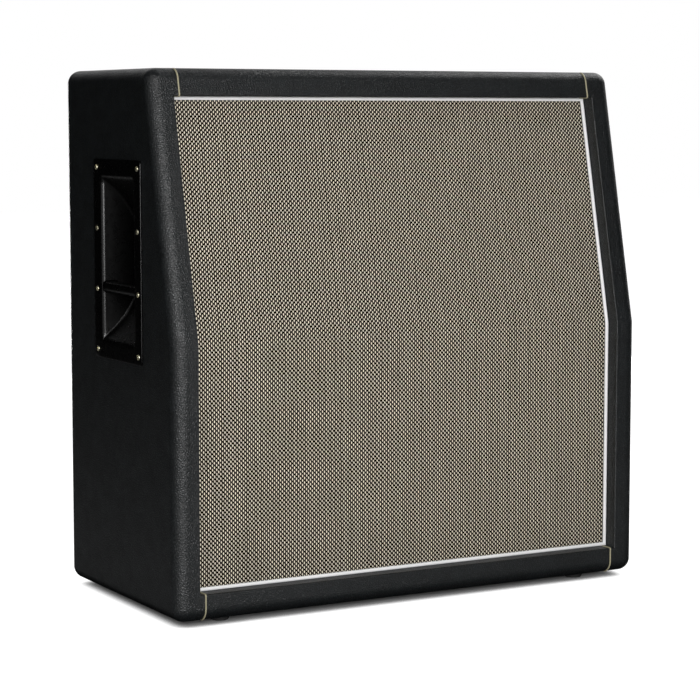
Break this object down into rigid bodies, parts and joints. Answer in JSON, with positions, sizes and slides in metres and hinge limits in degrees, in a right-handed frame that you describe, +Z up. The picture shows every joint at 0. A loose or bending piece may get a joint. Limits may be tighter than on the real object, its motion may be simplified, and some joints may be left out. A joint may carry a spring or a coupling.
{
  "type": "guitar speaker cabinet",
  "caption": "Tall closed-back guitar speaker cabinet with an angled upper front, woven grille cloth, vinyl covering, recessed side handles and sprung driver cones.",
  "frame": {"origin": "on the floor under the middle of the cabinet, at the underside of its feet", "axes": "+X to the right as seen from the front, +Y from the front to the rear panel, +Z up"},
  "size_m": [0.7736, 0.3763, 0.76],
  "materials": {
    "plywood": "satin",
    "batten_wood": "matte",
    "black_vinyl": "satin",
    "grille_weave": "matte",
    "white_bead": "satin",
    "gold_bead": "satin",
    "handle_plastic": "satin",
    "brass_screw": "polished",
    "black_screw": "satin",
    "foot_rubber": "matte",
    "plated_steel": "satin",
    "dish_plastic": "satin",
    "socket_metal": "satin",
    "gasket_card": "matte",
    "wire_sleeve": "satin",
    "frame_steel": "satin",
    "magnet_iron": "matte",
    "coil_wire": "satin",
    "cone_paper": "matte",
    "suspension_cloth": "matte"
  },
  "bodies": {
    "cabinet": {"left_side_panel": "plywood", "right_side_panel": "plywood", "top_panel": "plywood", "bottom_panel": "plywood", "rear_panel": "plywood", "upper_baffle": "plywood", "lower_baffle": "plywood", "front_stiles": "batten_wood", "front_rails": "batten_wood", "baffle_cleats": "batten_wood", "rear_cleats": "batten_wood", "centre_post": "batten_wood", "left_vinyl": "black_vinyl", "right_vinyl": "black_vinyl", "top_vinyl": "black_vinyl", "bottom_vinyl": "black_vinyl", "rear_vinyl": "black_vinyl", "grille_cloth": "grille_weave", "edge_piping": "white_bead", "corner_piping": "gold_bead", "left_handle": "handle_plastic", "right_handle": "handle_plastic", "handle_screws": "brass_screw", "rear_panel_screws": "black_screw", "dish_screws": "black_screw", "rubber_feet": "foot_rubber", "foot_screws": "plated_steel", "driver_bolts": "plated_steel", "connector_dish": "dish_plastic", "connector_sockets": "socket_metal", "driver_gaskets": "gasket_card", "driver_wiring": "wire_sleeve", "upper_left_frame": "frame_steel", "upper_right_frame": "frame_steel", "lower_left_frame": "frame_steel", "lower_right_frame": "frame_steel", "upper_left_magnet": "magnet_iron", "upper_right_magnet": "magnet_iron", "lower_left_magnet": "magnet_iron", "lower_right_magnet": "magnet_iron", "upper_left_cone_edge": "suspension_cloth", "upper_left_spider": "suspension_cloth", "upper_right_cone_edge": "suspension_cloth", "upper_right_spider": "suspension_cloth", "lower_left_cone_edge": "suspension_cloth", "lower_left_spider": "suspension_cloth", "lower_right_cone_edge": "suspension_cloth", "lower_right_spider": "suspension_cloth"},
    "upper_left_diaphragm": {"upper_left_cone": "cone_paper", "upper_left_dust_cap": "cone_paper", "upper_left_voice_coil": "coil_wire"},
    "upper_right_diaphragm": {"upper_right_cone": "cone_paper", "upper_right_dust_cap": "cone_paper", "upper_right_voice_coil": "coil_wire"},
    "lower_left_diaphragm": {"lower_left_cone": "cone_paper", "lower_left_dust_cap": "cone_paper", "lower_left_voice_coil": "coil_wire"},
    "lower_right_diaphragm": {"lower_right_cone": "cone_paper", "lower_right_dust_cap": "cone_paper", "lower_right_voice_coil": "coil_wire"}
  },
  "joints": [
    {"name": "lower_left_cone_travel", "type": "slide", "parent": "cabinet", "child": "lower_left_diaphragm", "axis": [0, -1, 0], "range_m": [-0.003, 0.003], "stiffness_N_per_m": 6600, "deforming": ["lower_left_cone_edge", "lower_left_spider"]},
    {"name": "lower_right_cone_travel", "type": "slide", "parent": "cabinet", "child": "lower_right_diaphragm", "axis": [0, -1, 0], "range_m": [-0.003, 0.003], "stiffness_N_per_m": 6600, "deforming": ["lower_right_cone_edge", "lower_right_spider"]},
    {"name": "upper_left_cone_travel", "type": "slide", "parent": "cabinet", "child": "upper_left_diaphragm", "axis": [0, -0.9776, 0.2102], "range_m": [-0.003, 0.003], "stiffness_N_per_m": 6600, "deforming": ["upper_left_cone_edge", "upper_left_spider"]},
    {"name": "upper_right_cone_travel", "type": "slide", "parent": "cabinet", "child": "upper_right_diaphragm", "axis": [0, -0.9776, 0.2102], "range_m": [-0.003, 0.003], "stiffness_N_per_m": 6600, "deforming": ["upper_right_cone_edge", "upper_right_spider"]}
  ],
  "couplings": [
    {"joint": "lower_right_cone_travel", "follows": "lower_left_cone_travel", "ratio": 1},
    {"joint": "upper_left_cone_travel", "follows": "lower_left_cone_travel", "ratio": 1},
    {"joint": "upper_right_cone_travel", "follows": "lower_left_cone_travel", "ratio": 1}
  ]
}
